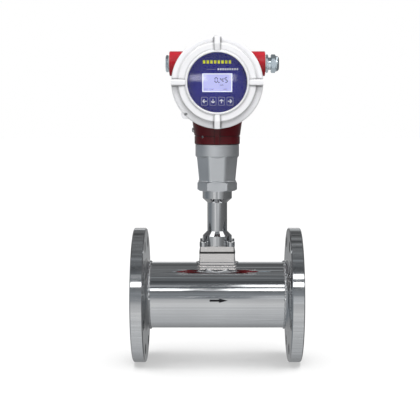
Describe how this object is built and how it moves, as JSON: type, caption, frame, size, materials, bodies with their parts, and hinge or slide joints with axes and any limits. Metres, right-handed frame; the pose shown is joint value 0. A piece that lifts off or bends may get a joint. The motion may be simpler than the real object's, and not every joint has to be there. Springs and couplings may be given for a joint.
{
  "type": "vortex flow meter",
  "caption": "Flanged vortex flow meter with a bluff body in its pipe, a neck and a swivelling red head with white screw covers and a blue display.",
  "frame": {"origin": "centre of the inlet bolt circle, on the rim face of the inlet flange that the holes reach", "axes": "+X along the pipe in the flow's direction, +Z from the pipe's axis up to the head, the display faces -Y at rest"},
  "size_m": [0.276, 0.22, 0.5269],
  "materials": {
    "polished_steel": "polished stainless steel",
    "satin_steel": "satin grey cast metal",
    "small_steel": "plain steel screws",
    "red_paint": "glossy deep red enamel on cast metal",
    "white_paint": "glossy white enamel on cast metal",
    "black_rubber": "matte black rubber",
    "clear_glass": "clear tempered glass",
    "ring_aluminium": "plain turned ring",
    "nickel_brass": "bright nickel plating",
    "white_nylon": "white nylon",
    "blue_panel": "deep blue printed panel",
    "key_plastic": "deep blue key caps with pale outlines",
    "display_glass": "pale lilac backlit display",
    "black_plastic": "black moulded plastic",
    "grey_plastic": "grey moulded plastic",
    "green_board": "green circuit board",
    "potting": "black potting resin",
    "lead_sheath": "grey sheathed lead"
  },
  "bodies": {
    "meter_body": {"meter_tube": "polished_steel", "inlet_flange": "polished_steel", "outlet_flange": "polished_steel", "bluff_body": "polished_steel", "sensor_block": "polished_steel", "sensor_probe": "polished_steel", "sensor_seal": "black_rubber", "sensor_lead": "lead_sheath", "neck_gasket": "black_rubber", "neck_plate": "polished_steel", "neck_tube": "polished_steel", "neck_screws": "polished_steel", "lock_nut": "satin_steel", "head_adapter": "satin_steel", "lead_feedthrough": "potting", "swivel_seal": "black_rubber"},
    "head": {"housing": "red_paint", "collar_lock_screw": "small_steel", "outer_earth_screw": "small_steel", "outer_earth_washer": "small_steel", "inner_earth_screw": "small_steel", "inner_earth_washer": "small_steel", "display_fascia": "blue_panel", "display_carrier": "black_plastic", "lcd_module": "display_glass", "key_switches": "black_plastic", "display_board": "green_board", "amplifier_board": "green_board", "main_board": "green_board", "lower_standoffs": "nickel_brass", "upper_standoffs": "nickel_brass", "board_screws": "small_steel", "wall_feedthrough": "grey_plastic", "terminal_board": "green_board", "terminal_board_screws": "small_steel", "terminal_block": "grey_plastic", "terminal_screws": "small_steel", "blanking_plug": "nickel_brass", "plug_washer": "white_nylon", "gland_washer": "white_nylon", "gland_body": "nickel_brass", "gland_seal": "black_rubber", "gland_ring": "white_nylon"},
    "front_cover_travel": {"front_cover_seal": "black_rubber"},
    "front_cover_turn": {"front_cover": "white_paint", "front_lock_screw": "small_steel", "window_glass": "clear_glass", "window_gasket": "black_rubber", "glass_ring": "ring_aluminium"},
    "rear_cover_travel": {"rear_cover_seal": "black_rubber"},
    "rear_cover_turn": {"rear_cover": "white_paint", "rear_lock_screw": "small_steel"},
    "gland_turn": {"gland_nut": "nickel_brass"},
    "key_left": {"key_left": "key_plastic"},
    "key_down": {"key_down": "key_plastic"},
    "key_up": {"key_up": "key_plastic"},
    "key_right": {"key_right": "key_plastic"}
  },
  "joints": [
    {"name": "head_swivel", "type": "hinge", "parent": "meter_body", "child": "head", "pos_m": [0.136, 0, 0.2473], "axis": [0, 0, 1], "range_deg": [-175, 175]},
    {"name": "front_cover_travel", "type": "slide", "parent": "head", "child": "front_cover_travel", "axis": [0, -1, 0], "range_m": [0, 0.0101]},
    {"name": "front_cover_turn", "type": "hinge", "parent": "front_cover_travel", "child": "front_cover_turn", "pos_m": [0.136, -0.044, 0.3449], "axis": [0, -1, 0], "range_deg": [0, 1800]},
    {"name": "rear_cover_travel", "type": "slide", "parent": "head", "child": "rear_cover_travel", "axis": [0, 1, 0], "range_m": [0, 0.0101]},
    {"name": "rear_cover_turn", "type": "hinge", "parent": "rear_cover_travel", "child": "rear_cover_turn", "pos_m": [0.136, 0.044, 0.3449], "axis": [0, 1, 0], "range_deg": [0, 1800]},
    {"name": "gland_turn", "type": "hinge", "parent": "head", "child": "gland_turn", "pos_m": [0.2135, 0.012, 0.3773], "axis": [1, 0, 0], "range_deg": [0, 120]},
    {"name": "key_left_press", "type": "slide", "parent": "head", "child": "key_left", "axis": [0, 1, 0], "range_m": [0, 0.0005], "stiffness_N_per_m": 400, "springref_m": -0.0005},
    {"name": "key_down_press", "type": "slide", "parent": "head", "child": "key_down", "axis": [0, 1, 0], "range_m": [0, 0.0005], "stiffness_N_per_m": 400, "springref_m": -0.0005},
    {"name": "key_up_press", "type": "slide", "parent": "head", "child": "key_up", "axis": [0, 1, 0], "range_m": [0, 0.0005], "stiffness_N_per_m": 400, "springref_m": -0.0005},
    {"name": "key_right_press", "type": "slide", "parent": "head", "child": "key_right", "axis": [0, 1, 0], "range_m": [0, 0.0005], "stiffness_N_per_m": 400, "springref_m": -0.0005}
  ],
  "couplings": [
    {"joint": "front_cover_travel", "follows": "front_cover_turn", "m_per_rad": 0.00031831},
    {"joint": "rear_cover_travel", "follows": "rear_cover_turn", "m_per_rad": 0.00031831}
  ]
}
